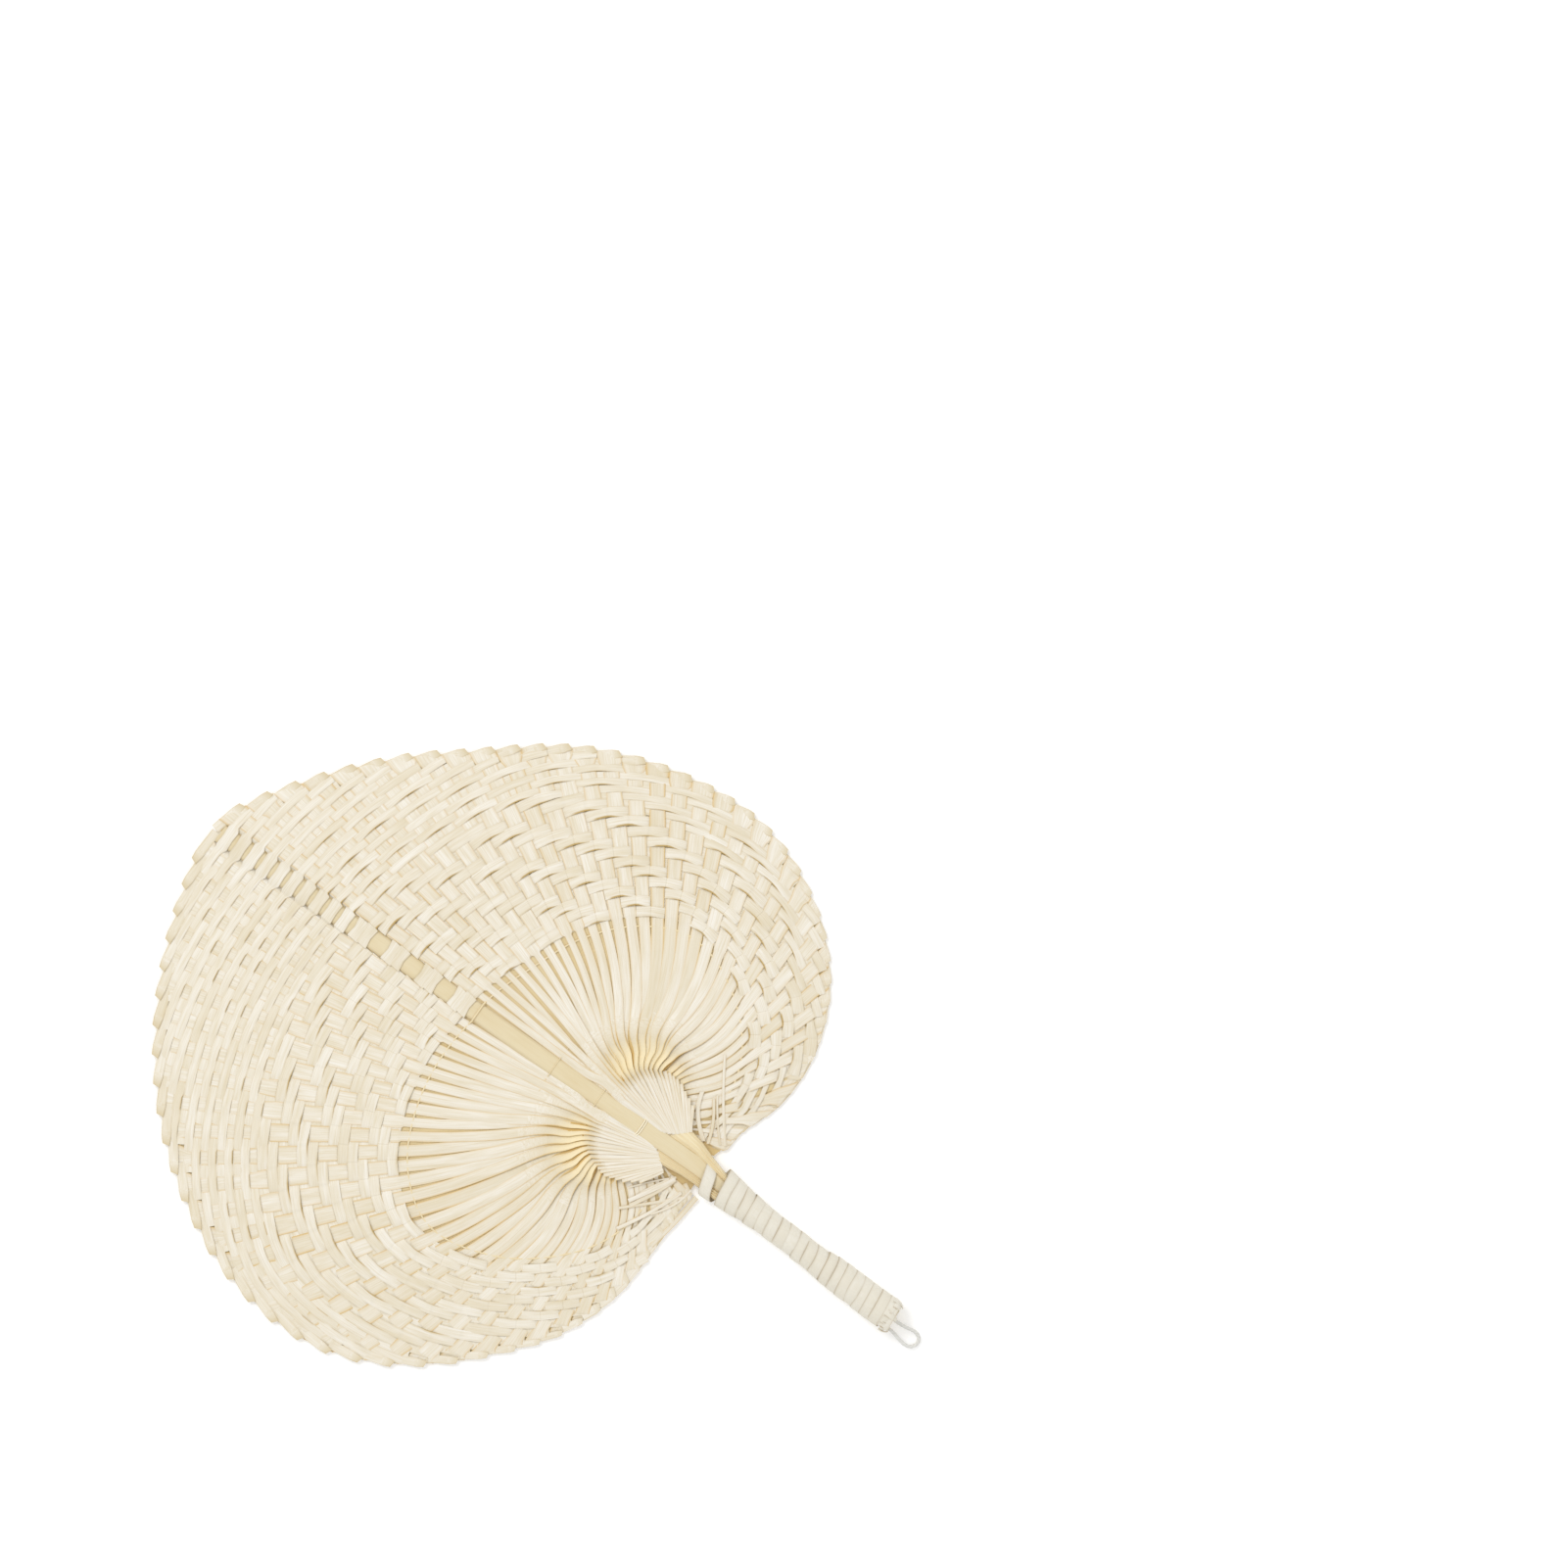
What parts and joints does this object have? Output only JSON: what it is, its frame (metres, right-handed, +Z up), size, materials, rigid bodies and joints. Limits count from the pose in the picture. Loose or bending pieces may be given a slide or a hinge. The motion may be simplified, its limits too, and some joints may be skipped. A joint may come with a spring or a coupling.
{
  "type": "palm leaf hand fan",
  "caption": "Heart-shaped hand fan of split and woven palm leaf on a bamboo splint, with a strip-bound grip and a hanging loop of cord.",
  "frame": {"origin": "under the middle of the fan without its loop, on the surface that it lies on", "axes": "+Y from the grip to the tip of the leaf, +X to the right seen face up, +Z up out of the face"},
  "size_m": [0.3288, 0.4159, 0.0146],
  "materials": {
    "leaf": "dry bleached palm leaf, matte",
    "weft": "dry bleached palm leaf, matte",
    "bamboo": "split bamboo, satin",
    "binding": "flat off-white leaf strip, matte",
    "thread": "thin plant-fibre thread",
    "cord": "soft white cord"
  },
  "bodies": {
    "fan": {"spine_splint": "bamboo", "left_leaf": "leaf", "right_leaf": "leaf", "weft_01": "weft", "weft_02": "weft", "weft_03": "weft", "weft_04": "weft", "weft_05": "weft", "weft_06": "weft", "weft_07": "weft", "weft_08": "weft", "weft_09": "weft", "weft_10": "weft", "weft_11": "weft", "weft_12": "weft", "weft_13": "weft", "weft_14": "weft", "weft_15": "weft", "weft_16": "weft", "weft_17": "weft", "weft_18": "weft", "weft_19": "weft", "weft_20": "weft", "weft_21": "weft", "weft_22": "weft", "weft_23": "weft", "weft_24": "weft", "weft_25": "weft", "weft_26": "weft", "weft_27": "weft", "weft_28": "weft", "spacing_thread": "thread", "splint_stitch": "thread", "grip_binding": "binding", "butt_binding": "binding"},
    "loop": {"hang_loop": "cord"}
  },
  "joints": [
    {"name": "loop_swing", "type": "hinge", "parent": "fan", "child": "loop", "pos_m": [0.0025, -0.20075, 0.0072], "axis": [1, 0, 0], "range_deg": [-90, 45]}
  ]
}
